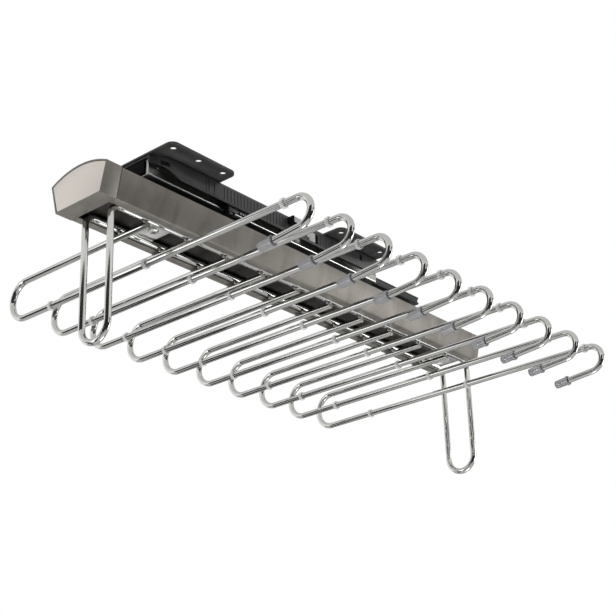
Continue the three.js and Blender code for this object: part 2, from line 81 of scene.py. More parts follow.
def finish(name):
    """A new material with its shader and the piece's own coordinates."""
    material = bpy.data.materials.new(name)
    material.use_nodes = True
    tree = material.node_tree
    shader = tree.nodes["Principled BSDF"]
    place = add_node(tree, "ShaderNodeTexCoord", (-1100, 0))
    return material, tree, shader, place.outputs["Object"]


def group_of(name, numbers, outputs):
    """A shader node group that takes a place on the piece and some numbers."""
    group = bpy.data.node_groups.new(name, "ShaderNodeTree")
    group.interface.new_socket("Place", in_out="INPUT", socket_type="NodeSocketVector")
    for label, value in numbers.items():
        socket = group.interface.new_socket(label, in_out="INPUT", socket_type="NodeSocketFloat")
        socket.default_value = value
    for label in outputs:
        group.interface.new_socket(label, in_out="OUTPUT", socket_type="NodeSocketFloat")
    source = add_node(group, "NodeGroupInput", (-700, 0))
    target = add_node(group, "NodeGroupOutput", (500, 0))
    return group, source, target


def place_group(tree, group, place, position=(-800, 0), **numbers):
    node = add_node(tree, "ShaderNodeGroup", position, node_tree=group)
    tree.links.new(place, node.inputs["Place"])
    set_inputs(node, **numbers)
    return node


def spread(tree, factor, low, high, position=(-400, 0)):
    """A number that runs from low to high with the factor."""
    node = add_node(tree, "ShaderNodeMapRange", position)
    set_inputs(node, To_Min=low, To_Max=high)
    tree.links.new(factor, node.inputs["Value"])
    return node.outputs["Result"]


def two_colours(tree, factor, first, second):
    """A colour that runs from the first to the second with the factor."""
    node = add_node(tree, "ShaderNodeMix", (-400, 300), data_type="RGBA")
    set_inputs(node, A=first, B=second)
    tree.links.new(factor, node.inputs["Factor"])
    return node.outputs["Result"]


def uneven_film():
    """Soft clouds and fine specks, as on any plated or coated surface."""
    group, source, target = group_of(
        "uneven_film", {"Cloud Scale": 40, "Speck Scale": 900}, ("Clouds", "Specks")
    )
    for number, label in enumerate(("Cloud Scale", "Speck Scale")):
        noise = add_node(group, "ShaderNodeTexNoise", (-400, -250 * number))
        set_inputs(noise, Detail=3)
        group.links.new(source.outputs["Place"], noise.inputs["Vector"])
        group.links.new(source.outputs[label], noise.inputs["Scale"])
        group.links.new(noise.outputs["Fac"], target.inputs[number])
    return group


film = uneven_film()


def filmed(name, tones, roughness, clouds, specks, rough_by="Specks"):
    """A plated, coated or moulded finish: two close tones in clouds and a gloss that varies."""
    material, tree, shader, place = finish(name)
    layer = place_group(tree, film, place, Cloud_Scale=clouds, Speck_Scale=specks)
    colour = two_colours(tree, layer.outputs["Clouds"], *tones)
    tree.links.new(colour, shader.inputs["Base Color"])
    dullness = spread(tree, layer.outputs[rough_by], *roughness)
    tree.links.new(dullness, shader.inputs["Roughness"])
    return material, tree, shader, layer


def add_relief(tree, shader, height, strength):
    """A relief of a tenth of a millimetre at most, which breaks up the shine."""
    bump = add_node(tree, "ShaderNodeBump", (-200, -300))
    set_inputs(bump, Strength=strength, Distance=0.0001)
    tree.links.new(height, bump.inputs["Height"])
    tree.links.new(bump.outputs["Normal"], shader.inputs["Normal"])


chrome, tree, shader, layer = filmed(
    "bright_chrome_plate", (chrome_colour, chrome_shade), roughness=(0.03, 0.11),
    clouds=55, specks=1400, rough_by="Clouds",
)
add_relief(tree, shader, layer.outputs["Specks"], 0.01)
set_inputs(shader, Metallic=1)


def bend(points, centre, start, side, angle):
    """Adds the points of a round bend: start and side are arms from the bend's centre."""
    steps = max(4, round(bend_points * angle / math.pi))
    for i in range(1, steps + 1):
        turn = angle * i / steps
        points.append(centre + start * math.cos(turn) + side * math.sin(turn))


def kept_straight(points, closed):
    """Adds a point near each end of a straight, so that the shading of a bend stays in the bend."""
    made = []
    for i, point in enumerate(points):
        made.append(point)
        if closed or i + 1 < len(points):
            after = points[(i + 1) % len(points)]
            if (after - point).length > straight_length:
                step = (after - point).normalized() * shading_margin
                made += [point + step, after - step]
    return made


def bent_wire(name, points, closed=False):
    """A round wire along a line of points, with the wire's thickness as the curve's bevel."""
    points = kept_straight(points, closed)
    curve = bpy.data.curves.new(name, "CURVE")
    curve.dimensions = "3D"
    curve.bevel_depth = wire_radius
    curve.bevel_resolution = 6
    curve.use_fill_caps = True
    line = curve.splines.new("POLY")
    line.points.add(len(points) - 1)
    for spot, point in zip(line.points, points):
        spot.co = (*point, 1)
    line.use_cyclic_u = closed
    line.use_smooth = True
    curve.materials.append(chrome)
    wire = bpy.data.objects.new(name, curve)
    bpy.context.collection.objects.link(wire)
    return wire


left, down = Vector((-1, 0, 0)), Vector((0, 0, -1))
tip_way = left * math.cos(free_leg_tilt) + down * math.sin(free_leg_tilt)
hook_bend_ends = []

for number in range(hanger_count):
    y = first_hanger_y + number * hanger_pitch
    hairpin = Vector((hairpin_centre_x, y, upper_leg_z - hairpin_radius))
    hook = Vector((hook_centre_x, y, long_leg_z - hook_radius))
    line = [Vector((upper_leg_end_x, y, upper_leg_z)), hairpin - down * hairpin_radius]
    bend(line, hairpin, -down * hairpin_radius, left * hairpin_radius, math.pi)
    line.append(hook - down * hook_radius)
    bend(line, hook, -down * hook_radius, -left * hook_radius, math.pi - free_leg_tilt)
    hook_bend_ends.append(line[-1])
    line.append(line[-1] + tip_way * free_leg_length)
    wire = bent_wire(f"chrome_hanger_{number + 1:02d}", line)
    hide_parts(f"hanger_{number + 1:02d}")
    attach(wire, "carriage")

# Wire frame: one closed wire of the same steel, two long rods with a hanging loop at each end, and
# the two flat plates welded across the rods that the screws hold up to the beam.
rod_x = 0.01325
rod_z = -0.0455
front_loop_y = -0.0559
rear_loop_y = 0.3695
frame_bend = 0.008
loop_depth = 0.0999
loop_centre_z = rod_z - loop_depth + rod_x
bead_size = (0.0022, 0.0021, 0.0016)

rods = []
for y, way, side in ((front_loop_y, 1, 1), (rear_loop_y, -1, -1)):
    across, along = Vector((side, 0, 0)), Vector((0, way, 0))
    top = Vector((0, y, rod_z))
    near, far = top - across * rod_x, top + across * rod_x
    rods.append(near + down * frame_bend)
    bend(rods, Vector((0, y, loop_centre_z)), -across * rod_x, down * rod_x, math.pi)
    corner = far + down * frame_bend + along * frame_bend
    rods.append(far + down * frame_bend)
    bend(rods, corner, -along * frame_bend, -down * frame_bend, math.pi / 2)
    other = Vector((far.x, rear_loop_y if way > 0 else front_loop_y, rod_z))
    corner = other + down * frame_bend - along * frame_bend
    rods.append(corner - down * frame_bend)
    bend(rods, corner, -down * frame_bend, along * frame_bend, math.pi / 2)

rods.pop()  # the last bend ends on the first point
closed_wire = bent_wire("chrome_wire_frame", rods, closed=True)
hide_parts("wire_frame")
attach(closed_wire, "carriage")

crease = math.radians(38)


def piece(name, mesh_builder, material, body):
    """Turns a bmesh into a piece that rides on a body; small trim has no slot of its own."""
    mesh = bpy.data.meshes.new(name)
    mesh_builder.to_mesh(mesh)
    mesh_builder.free()
    mesh.materials.append(material)
    mesh.shade_smooth()
    mesh.set_sharp_from_angle(angle=crease)
    made = bpy.data.objects.new(name, mesh)
    bpy.context.collection.objects.link(made)
    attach(made, body)
    return made


beads = bmesh.new()
for number in range(hanger_count):
    for side in (-1, 1):
        spot = (side * rod_x, first_hanger_y + number * hanger_pitch, (rod_z + upper_leg_z) / 2)
        lump = Matrix.Translation(spot) @ Matrix.Diagonal((*bead_size, 1))
        bmesh.ops.create_uvsphere(beads, u_segments=14, v_segments=8, radius=1, matrix=lump)
piece("weld_beads", beads, chrome, "carriage")

weld_plate_top = -0.0418
weld_plate_thickness = 0.0015
weld_plate_sheet = 0.00135  # a little thinner, so that it stays inside its solid
weld_plate_half_width = 0.0132
weld_plate_half_length = 0.011
weld_plate_middles = (-0.0039, 0.3552)
dish_radius = 0.0068
dish_floor_radius = 0.0048
dish_depth = 0.0009
dish_floor_z = weld_plate_top - weld_plate_thickness + dish_depth
screw_bore_radius = 0.00225
least_arm = 1e-9  # keeps the division below away from nought
satin_colour = (0.95, 0.94, 0.92, 1)
satin_shade = (0.84, 0.83, 0.81, 1)

satin_chrome, tree, shader, layer = filmed(
    "satin_chrome_plate", (satin_colour, satin_shade), roughness=(0.28, 0.42),
    clouds=240, specks=1400, rough_by="Clouds",
)
set_inputs(shader, Metallic=1)


def next_rim(target, rim):
    """Extrudes an open rim in place and gives the new rim's edges and corners."""
    made = bmesh.ops.extrude_edge_only(target, edges=rim)["geom"]
    edges = [part for part in made if isinstance(part, bmesh.types.BMEdge)]
    corners = [part for part in made if isinstance(part, bmesh.types.BMVert)]
    return edges, corners


plates = bmesh.new()
for middle in weld_plate_middles:
    bore = bmesh.ops.create_circle(
        plates, segments=32, radius=screw_bore_radius,
        matrix=Matrix.Translation((0, middle, dish_floor_z)),
    )["verts"]
    to_middle = Matrix.Translation((0, -middle, 0))
    rim = [e for e in plates.edges if all(v in bore for v in e.verts)]
    rim, corners = next_rim(plates, rim)
    widen = dish_floor_radius / screw_bore_radius
    bmesh.ops.scale(plates, verts=corners, vec=(widen, widen, 1), space=to_middle)
    rim, corners = next_rim(plates, rim)
    widen = dish_radius / dish_floor_radius
    bmesh.ops.scale(plates, verts=corners, vec=(widen, widen, 1), space=to_middle)
    bmesh.ops.translate(plates, verts=corners, vec=(0, 0, -dish_depth))
    for corner in next_rim(plates, rim)[1]:  # out to the plate's straight edges
        arm = Vector((corner.co.x, corner.co.y - middle))
        stretch = min(
            weld_plate_half_width / max(abs(arm.x), least_arm),
            weld_plate_half_length / max(abs(arm.y), least_arm),
        )
        corner.co.x, corner.co.y = arm.x * stretch, middle + arm.y * stretch
bmesh.ops.recalc_face_normals(plates, faces=plates.faces)
if plates.faces[0].normal.z > 0:
    bmesh.ops.reverse_faces(plates, faces=plates.faces)
bmesh.ops.solidify(plates, geom=plates.faces[:], thickness=weld_plate_sheet)
piece("weld_plates", plates, satin_chrome, "carriage")

# End caps: grey moulded plastic thimbles with a collar at the mouth, pushed on the free end of each
# hook so that the cut wire doesn't snag the cloth.
cap_profile = (  # along the wire from the mouth, and out from its middle
    (0.0003, 0.0026),
    (0.0, 0.0031),
    (0.0001, 0.0037),
    (0.0005, 0.0039),
    (0.0018, 0.0039),
    (0.0023, 0.0036),
    (0.0027, 0.0034),
    (0.0113, 0.0033),
    (0.0121, 0.0030),
    (0.0125, 0.0023),
    (0.0126, 0.0),
)
tip_bore = 0.0107  # how far the wire goes in
cap_grey = (0.33, 0.33, 0.35, 1)
cap_grey_worn = (0.48, 0.48, 0.50, 1)
joined_within = 1e-6

moulded, tree, shader, layer = filmed(
    "grey_moulded_plastic", (cap_grey, cap_grey_worn), roughness=(0.28, 0.40),
    clouds=160, specks=2600,
)
add_relief(tree, shader, layer.outputs["Specks"], 0.04)
set_inputs(shader, IOR=1.45, Transmission_Weight=0.4)


def turned(target, profile, start, way, steps=28):
    """Spins a profile about a line through start and adds the closed surface."""
    way = way.normalized()
    out = way.orthogonal().normalized()
    made = [target.verts.new(start + way * along + out * reach) for along, reach in profile]
    edges = [target.edges.new(pair) for pair in zip(made, made[1:])]
    bmesh.ops.spin(
        target, geom=made + edges, cent=start, axis=way, angle=math.tau, steps=steps, use_merge=True
    )


def closed_up(target):
    bmesh.ops.remove_doubles(target, verts=target.verts, dist=joined_within)
    bmesh.ops.recalc_face_normals(target, faces=target.faces)


for number, bend_end in enumerate(hook_bend_ends):
    cap = bmesh.new()
    turned(cap, cap_profile, bend_end + tip_way * (free_leg_length - tip_bore), tip_way)
    closed_up(cap)
    thimble = piece(f"plastic_tip_{number + 1:02d}", cap, moulded, "carriage")
    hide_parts(f"end_cap_{number + 1:02d}")

# Grip rings: small bands of clear silicone on each long leg that keep the cloth from sliding. They
# are moulded, round in section, and rolled along the wire to their places.
ring_half_width = 0.0016
ring_inner = 0.0026
ring_outer = 0.0038
ring_points = 12
silicone_tint = (0.86, 0.86, 0.86, 1)
silicone_haze = (0.78, 0.78, 0.80, 1)

silicone, tree, shader, layer = filmed(
    "clear_silicone_rubber", (silicone_tint, silicone_haze), roughness=(0.25, 0.5),
    clouds=220, specks=1800,
)
opacity = spread(tree, layer.outputs["Clouds"], 0.38, 0.62, (-400, -500))
tree.links.new(opacity, shader.inputs["Alpha"])
set_inputs(shader, IOR=1.41)

swell = (ring_outer - ring_inner) / 2
ring_profile = []
for i in range(ring_points):
    turn = math.tau * i / ring_points
    reach = ring_inner + swell * (1 + math.sin(turn))
    ring_profile.append((ring_half_width * math.cos(turn), reach))
ring_profile.append(ring_profile[0])

for number in range(hanger_count):
    for place_on_leg in (1, 2, 3):
        label = f"{number + 1:02d}_{place_on_leg}"
        low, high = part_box(f"grip_ring_{label}")
        band = bmesh.new()
        turned(band, ring_profile, (low + high) / 2, Vector((1, 0, 0)), steps=24)
        closed_up(band)
        ring = piece(f"silicone_band_{label}", band, silicone, "carriage")
        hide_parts(f"grip_ring_{label}")

# Beam: an aluminium extrusion with leaning sides and a web, brushed along its length and anodised
# in a champagne grey. The carriage rail sits in it, and the wire frame is screwed under its web.
beam_tone = (0.145, 0.132, 0.114, 1)
beam_light = (0.275, 0.256, 0.230, 1)
beam_bare = (0.5, 0.47, 0.43, 1)
# the colour inside the beam's lower channel: painted shade, a darkening that stands in for the
# shade there
channel_painted_shade = (0.030, 0.028, 0.024, 1)
channel_half_width = 0.0235
channel_mouth_z = -0.0470
channel_deep_z = -0.0425
line_share, band_share = 0.55, 0.45
edge_break = 0.0003
flat_below, sharp_above = math.radians(1), math.radians(40)


def brushed_grain():
    """Fine lines that run along Y, with broader bands of tone, as a brushing belt leaves them."""
    group, source, target = group_of(
        "brushed_grain", {"Fine": 2600, "Coarse": 420, "Patch": 48}, ("Lines", "Bands", "Patches")
    )
    stretched = add_node(group, "ShaderNodeVectorMath", (-520, 0), operation="MULTIPLY")
    stretched.inputs[1].default_value = (1, 0.02, 1)
    group.links.new(source.outputs["Place"], stretched.inputs[0])
    for number, label in enumerate(("Fine", "Coarse")):
        noise = add_node(group, "ShaderNodeTexNoise", (-300, -250 * number))
        set_inputs(noise, Detail=4, Roughness=0.6)
        group.links.new(stretched.outputs["Vector"], noise.inputs["Vector"])
        group.links.new(source.outputs[label], noise.inputs["Scale"])
        group.links.new(noise.outputs["Fac"], target.inputs[number])
    patches = add_node(group, "ShaderNodeTexNoise", (-300, -500))
    set_inputs(patches, Detail=3, Distortion=1.2)
    leaning = add_node(group, "ShaderNodeVectorMath", (-520, -500), operation="MULTIPLY")
    leaning.inputs[1].default_value = (1, 1, 0.35)
    group.links.new(source.outputs["Place"], leaning.inputs[0])
    group.links.new(leaning.outputs["Vector"], patches.inputs["Vector"])
    group.links.new(source.outputs["Patch"], patches.inputs["Scale"])
    spot = add_node(group, "ShaderNodeMapRange", (0, -500))
    set_inputs(spot, From_Min=0.36, From_Max=0.64)
    group.links.new(patches.outputs["Fac"], spot.inputs["Value"])
    group.links.new(spot.outputs["Result"], target.inputs["Patches"])
    return group


def worn_edges():
    """A mask that is one on outer edges, where handling rubs a finish thin."""
    group, source, target = group_of("worn_edges", {"Width": 0.0006, "Breakup": 300}, ("Wear",))
    rounded = add_node(group, "ShaderNodeBevel", (-400, 100), samples=4)
    group.links.new(source.outputs["Width"], rounded.inputs["Radius"])
    true_way = add_node(group, "ShaderNodeNewGeometry", (-400, -100))
    alike = add_node(group, "ShaderNodeVectorMath", (-200, 0), operation="DOT_PRODUCT")
    group.links.new(rounded.outputs["Normal"], alike.inputs[0])
    group.links.new(true_way.outputs["Normal"], alike.inputs[1])
    mask = add_node(group, "ShaderNodeMapRange", (0, 0))
    set_inputs(mask, From_Min=0.98, From_Max=0.80)
    group.links.new(alike.outputs["Value"], mask.inputs["Value"])
    noise = add_node(group, "ShaderNodeTexNoise", (0, -250))
    group.links.new(source.outputs["Place"], noise.inputs["Vector"])
    group.links.new(source.outputs["Breakup"], noise.inputs["Scale"])
    both = add_node(group, "ShaderNodeMath", (250, 0), operation="MULTIPLY")
    group.links.new(mask.outputs["Result"], both.inputs[0])
    group.links.new(noise.outputs["Fac"], both.inputs[1])
    group.links.new(both.outputs["Value"], target.inputs["Wear"])
    return group


grain = brushed_grain()
wear = worn_edges()


def laid_over(tree, mask, under, over, position=(-200, 300)):
    """A colour with another laid over it where the mask is one."""
    node = add_node(tree, "ShaderNodeMix", position, data_type="RGBA")
    tree.links.new(mask, node.inputs["Factor"])
    tree.links.new(under, node.inputs["A"])
    node.inputs["B"].default_value = over
    return node.outputs["Result"]


def painted_channel_shade_mask(tree, place):
    """A mask that is one inside the beam's lower channel, where the colour is darkened as painted
    shade.
    """
    split = add_node(tree, "ShaderNodeSeparateXYZ", (-1000, 500))
    tree.links.new(place, split.inputs["Vector"])
    width = add_node(tree, "ShaderNodeMath", (-850, 550), operation="ABSOLUTE")
    tree.links.new(split.outputs["X"], width.inputs[0])
    narrow = add_node(tree, "ShaderNodeMath", (-700, 550), operation="LESS_THAN")
    tree.links.new(width.outputs["Value"], narrow.inputs[0])
    narrow.inputs[1].default_value = channel_half_width
    deep = add_node(tree, "ShaderNodeMapRange", (-700, 400))
    set_inputs(deep, From_Min=channel_mouth_z, From_Max=channel_deep_z)
    tree.links.new(split.outputs["Z"], deep.inputs["Value"])
    both = add_node(tree, "ShaderNodeMath", (-550, 500), operation="MULTIPLY")
    tree.links.new(narrow.outputs["Value"], both.inputs[0])
    tree.links.new(deep.outputs["Result"], both.inputs[1])
    return both.outputs["Value"]


def brushed_metal(name, tones, bare, metallic, roughness, patchy=0.0, inside=None):
    """A brushed, tinted metal with bright rubbed edges; inside is the painted shade laid in the
    beam's lower channel.
    """
    material, tree, shader, place = finish(name)
    lines = place_group(tree, grain, place, (-850, 100))
    edges = place_group(tree, wear, place, (-850, -200))
    tone = add_node(tree, "ShaderNodeMath", (-600, 200), operation="MULTIPLY_ADD")
    tree.links.new(lines.outputs["Lines"], tone.inputs[0])
    tone.inputs[1].default_value = line_share
    bands = spread(tree, lines.outputs["Bands"], 0, band_share, (-620, 50))
    tree.links.new(bands, tone.inputs[2])
    mottled = add_node(tree, "ShaderNodeMath", (-500, 200), operation="MULTIPLY_ADD")
    tree.links.new(lines.outputs["Patches"], mottled.inputs[0])
    mottled.inputs[1].default_value = patchy
    tree.links.new(tone.outputs["Value"], mottled.inputs[2])
    colour = two_colours(tree, mottled.outputs["Value"], *tones)
    # painted shade laid inside the beam's lower channel
    if inside:
        colour = laid_over(tree, painted_channel_shade_mask(tree, place), colour, inside, (-300, 450))
    colour = laid_over(tree, edges.outputs["Wear"], colour, bare)
    tree.links.new(colour, shader.inputs["Base Color"])
    dullness = spread(tree, lines.outputs["Lines"], *roughness)
    tree.links.new(dullness, shader.inputs["Roughness"])
    add_relief(tree, shader, lines.outputs["Lines"], 0.12)
    set_inputs(shader, Metallic=metallic)
    return material


def eased_copy(node_name, name, width, material, body):
    """A copy of a solid with its sharp edges broken, as rolling, deburring or plating leaves it."""
    made = bmesh.new()
    made.from_mesh(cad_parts[node_name].data)
    bmesh.ops.remove_doubles(made, verts=made.verts, dist=joined_within)
    bmesh.ops.dissolve_limit(made, angle_limit=flat_below, verts=made.verts, edges=made.edges)
    sharp = [e for e in made.edges if e.is_manifold and e.calc_face_angle(0) > sharp_above]
    bmesh.ops.bevel(
        made, geom=sharp, offset=width, affect="EDGES", segments=2, profile=0.5,
        material=-1, clamp_overlap=True,
    )
    copy = piece(name, made, material, body)
    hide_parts(node_name)


anodised = brushed_metal(
    "brushed_champagne_anodising", (beam_tone, beam_light), beam_bare, metallic=0.55,
    roughness=(0.36, 0.52), patchy=0.6, inside=channel_painted_shade,
)
eased_copy("beam", "brushed_beam", edge_break, anodised, "carriage")

# Front cap: a dark brushed shell with an arched top that closes the beam's front end, and the pale
# champagne plate that is glued into its face.
cap_tone = (0.20, 0.183, 0.163, 1)
cap_light = (0.285, 0.262, 0.236, 1)
cap_bare = (0.42, 0.39, 0.36, 1)
cap_edge_break = 0.0004
face_pale = (0.785, 0.725, 0.672, 1)
face_shade = (0.735, 0.677, 0.625, 1)

shell = brushed_metal(
    "dark_brushed_shell", (cap_tone, cap_light), cap_bare, metallic=0.55,
    roughness=(0.38, 0.55), patchy=0.35,
)
eased_copy("front_cap", "arched_front_cap", cap_edge_break, shell, "carriage")

pale, tree, shader, layer = filmed(
    "pale_champagne_lacquer", (face_pale, face_shade), roughness=(0.38, 0.5),
    clouds=18, specks=2200, rough_by="Clouds",
)
add_relief(tree, shader, layer.outputs["Specks"], 0.05)
set_inputs(shader, Metallic=0.2)
eased_copy("front_face", "pale_face_plate", edge_break, pale, "carriage")

# Mounting bracket: sheet steel, two screw plates spot-welded on an inverted channel and coated
# satin black. Its walls carry pressed lines, most of them close together in one row, and the coat
# is rubbed on the cut edges.
black_coat = (0.034, 0.034, 0.034, 1)
black_dust = (0.078, 0.078, 0.076, 1)
rubbed_coat = (0.16, 0.16, 0.16, 1)

coat, tree, shader, place = finish("satin_black_coat")
layer = place_group(tree, film, place, Cloud_Scale=70, Speck_Scale=1500)
edges = place_group(tree, wear, place, (-850, -200), Width=0.0005)
colour = two_colours(tree, layer.outputs["Clouds"], black_coat, black_dust)
colour = laid_over(tree, edges.outputs["Wear"], colour, rubbed_coat)
tree.links.new(colour, shader.inputs["Base Color"])
dullness = spread(tree, layer.outputs["Specks"], 0.28, 0.48)
tree.links.new(dullness, shader.inputs["Roughness"])
add_relief(tree, shader, layer.outputs["Specks"], 0.12)
set_inputs(shader, Metallic=0.3)
eased_copy(
    "mounting_bracket", "black_mounting_bracket", edge_break, coat, "bracket"
)


def rounded_block(target, low, high, width):
    """Adds a block between two corners with its edges broken."""
    made = bmesh.ops.create_cube(target, size=1)["verts"]
    for corner in made:
        for axis in range(3):
            corner.co[axis] = low[axis] if corner.co[axis] < 0 else high[axis]
    edges = list(dict.fromkeys(edge for corner in made for edge in corner.link_edges))
    bmesh.ops.bevel(
        target, geom=edges, offset=width, affect="EDGES", segments=3, profile=0.5,
        material=-1, clamp_overlap=True,
    )


def side_block(target, side, across, low, high, width):
    """A block on the right (1) or left (-1): across is its reach in X, low and high are Y and Z."""
    near, far = sorted(side * reach for reach in across)
    rounded_block(target, (near, *low), (far, *high), width)


def block_piece(name, blocks, material, body):
    """A piece of rounded blocks, each given by two corners and the width of its broken edges."""
    made = bmesh.new()
    for low, high, width in blocks:
        rounded_block(made, low, high, width)
    return piece(name, made, material, body)


wall_face = 0.033
rib_standout = 0.00035
rib_root = 0.0002
rib_half_width = 0.0006
rib_edge_break = 0.0002
rib_low, rib_high = -0.0148, -0.0046
close_rib_start = 0.0365
close_rib_pitch = 0.0036
close_rib_count = 25
rib_places = (0.0177, 0.0205, 0.0262, 0.1460, 0.1530, 0.1600)
rib_places += tuple(close_rib_start + close_rib_pitch * step for step in range(close_rib_count))

ribs = bmesh.new()
for side in (-1, 1):
    for y in rib_places:
        side_block(
            ribs, side, (wall_face - rib_root, wall_face + rib_standout),
            (y - rib_half_width, rib_low), (y + rib_half_width, rib_high), rib_edge_break,
        )
piece("pressed_wall_ribs", ribs, coat, "bracket")

# Ball slide: two zinc-plated lipped rails, a double-headed middle rail between them, and two cages
# of bent strip with steel balls. Each is rolled or pressed from sheet steel. The middle rail's
# near-black colour is painted shade, and the bright strips on the fixed rail's lower edges and
# front ends are painted highlight.
# each pair of tones is the darker and the lighter
zinc_tones = ((0.40, 0.41, 0.42, 1), (0.66, 0.67, 0.68, 1))
zinc_bare = (0.8, 0.8, 0.8, 1)
# the middle rail's tones: painted shade, near black where the zinc-plated rail lies in shade
middle_rail_shade_tones = ((0.030, 0.030, 0.031, 1), (0.075, 0.074, 0.072, 1))
middle_rail_shade_bare = (0.3, 0.3, 0.29, 1)
dull_zinc_tones = ((0.20, 0.204, 0.186, 1), (0.44, 0.445, 0.42, 1))
dull_zinc_bare = (0.8, 0.8, 0.78, 1)
# near-white zinc: the screws' own finish, and a painted highlight on the fixed rail's lower edges
polished_and_highlight_tones = ((0.86, 0.86, 0.85, 1), (0.94, 0.94, 0.93, 1))
polished_and_highlight_bare = (1, 1, 1, 1)
# near black: the tab holder's black plastic, and painted shade in the rail's front mouth
black_and_shade_tone = (0.003, 0.003, 0.003, 1)
black_and_shade_lighter = (0.008, 0.008, 0.008, 1)

zinc = brushed_metal(
    "bright_zinc_plate", zinc_tones, zinc_bare, metallic=1, roughness=(0.22, 0.36)
)
# the middle rail's material: plated steel darkened as painted shade
shaded_middle_steel = brushed_metal(
    "plated_steel_painted_shade", middle_rail_shade_tones, middle_rail_shade_bare, metallic=0.7, roughness=(0.3, 0.45)
)
dull = brushed_metal(
    "dull_zinc_plate", dull_zinc_tones, dull_zinc_bare, metallic=1, roughness=(0.26, 0.4),
    patchy=0.5,
)
eased_copy("slide_fixed_rail", "zinc_fixed_rail", edge_break, dull, "bracket")
eased_copy("slide_carriage_rail", "zinc_carriage_rail", edge_break, zinc, "carriage")
eased_copy("slide_middle_rail", "middle_rail_painted_shade", edge_break, shaded_middle_steel, "slide_middle")
for node_name in ("ball_cage_upper", "ball_cage_lower"):
    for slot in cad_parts[node_name].material_slots:
        slot.material = zinc

# thin plates of brighter zinc on the fixed rail's front ends: a painted highlight on the cut edges,
# with a dimple on each side
rail_front = -0.0305
painted_end_across = (0.0198, 0.02272)
painted_end_low = (rail_front - 0.00012, -0.0158)
painted_end_high = (rail_front + 0.0002, -0.0038)
painted_end_edge_break = 0.00005
dimple_place = (0.0226, -0.0215, -0.0075)
dimple_size = (0.0006, 0.0012, 0.0010)

painted_ends = bmesh.new()
for side in (-1, 1):
    side_block(painted_ends, side, painted_end_across, painted_end_low, painted_end_high, painted_end_edge_break)
    spot = (side * dimple_place[0], *dimple_place[1:])
    lump = Matrix.Translation(spot) @ Matrix.Diagonal((*dimple_size, 1))
    bmesh.ops.create_uvsphere(painted_ends, u_segments=12, v_segments=8, radius=1, matrix=lump)
piece("painted_highlight_rail_ends", painted_ends, zinc, "bracket")

# a near-white strip along each lower edge of the fixed rail: a painted highlight, the light line
# that edge shows
highlight_strip_across = (0.0204, 0.0230)
highlight_strip_low = (rail_front + 0.0004, -0.0161)
highlight_strip_high = (0.2290, -0.0136)
highlight_strip_edge_break = 0.0010

polished_zinc_and_highlight = brushed_metal(
    "polished_zinc_and_painted_highlight", polished_and_highlight_tones, polished_and_highlight_bare, metallic=1, roughness=(0.14, 0.24)
)
highlight_strips = bmesh.new()
for side in (-1, 1):
    side_block(highlight_strips, side, highlight_strip_across, highlight_strip_low, highlight_strip_high, highlight_strip_edge_break)
piece("painted_highlight_rail_edges", highlight_strips, polished_zinc_and_highlight, "bracket")

black_plastic_and_shade, tree, shader, layer = filmed(
    "black_plastic_and_painted_shade", (black_and_shade_tone, black_and_shade_lighter), roughness=(0.55, 0.75),
    clouds=90, specks=2400,
)
# the gloss is almost off, so that the block in the rail's mouth shows as plain shade
set_inputs(shader, Specular_IOR_Level=0.08)
# a black block across the rail's front mouth: painted shade, standing in for the shaded inside of
# the rail
painted_shade_blocks = (((-0.0196, -0.0320, -0.0146), (0.0196, -0.03062, -0.0036), 0.0006),)
block_piece("painted_shade_rail_mouth", painted_shade_blocks, black_plastic_and_shade, "slide_middle")

# Catch and stops beside the slide: a moulded black stop with its wire spring under the channel's
# right side, a pale catch that clips in the wall's window, and a pale tab in a black holder that
# stands out from the wall.
pale_grey = (0.58, 0.58, 0.57, 1)
pale_grey_light = (0.70, 0.70, 0.69, 1)
stop_black = (0.018, 0.018, 0.022, 1)
stop_worn = (0.045, 0.045, 0.054, 1)
stop_blocks = (  # lowest corner, highest corner, width of the broken edges
    ((0.0240, 0.0440, -0.0195), (0.0305, 0.0535, -0.0125), 0.0008),  # body
    ((0.0250, 0.0525, -0.0180), (0.0300, 0.0555, -0.0130), 0.0005),  # seat of the spring
    ((0.0255, 0.0452, -0.0211), (0.0290, 0.0495, -0.0190), 0.0005),  # nose
)
spring_turns = 5
spring_start = 0.0562
spring_pitch = 0.0024
spring_wire = 0.0011
spring_blocks = (
    ((0.0268, 0.0545, -0.0166), (0.0290, 0.0685, -0.0150), 0.0003),  # guide pin
    ((0.0262, 0.0505, -0.0209), (0.0300, 0.0590, -0.0198), 0.0004),  # end of the wire
)
catch_blocks = (
    ((0.0312, 0.1317, -0.0143), (0.0337, 0.1383, -0.0067), 0.0004),  # body in the window
    ((0.0328, 0.1290, -0.0120), (0.0334, 0.1320, -0.0080), 0.0002),  # tongue
)
holder_blocks = (
    ((0.0328, 0.1063, -0.0090), (0.0388, 0.1080, -0.0036), 0.0003),  # upright
    ((0.0328, 0.1070, -0.0092), (0.0384, 0.1165, -0.0084), 0.0002),  # floor under the tab
    ((0.0328, 0.1955, -0.0098), (0.0336, 0.1975, -0.0052), 0.0003),  # clip further back
)
tab_blocks = (((0.0328, 0.1080, -0.0084), (0.0386, 0.1165, -0.0038), 0.0003),)

moulded_pale = filmed(
    "pale_grey_plastic", (pale_grey, pale_grey_light), roughness=(0.4, 0.55),
    clouds=140, specks=2400,
)[0]
glossy_black = filmed(
    "glossy_black_plastic", (stop_black, stop_worn), roughness=(0.18, 0.32),
    clouds=200, specks=2400,
)[0]
block_piece("black_stop", stop_blocks, glossy_black, "bracket")

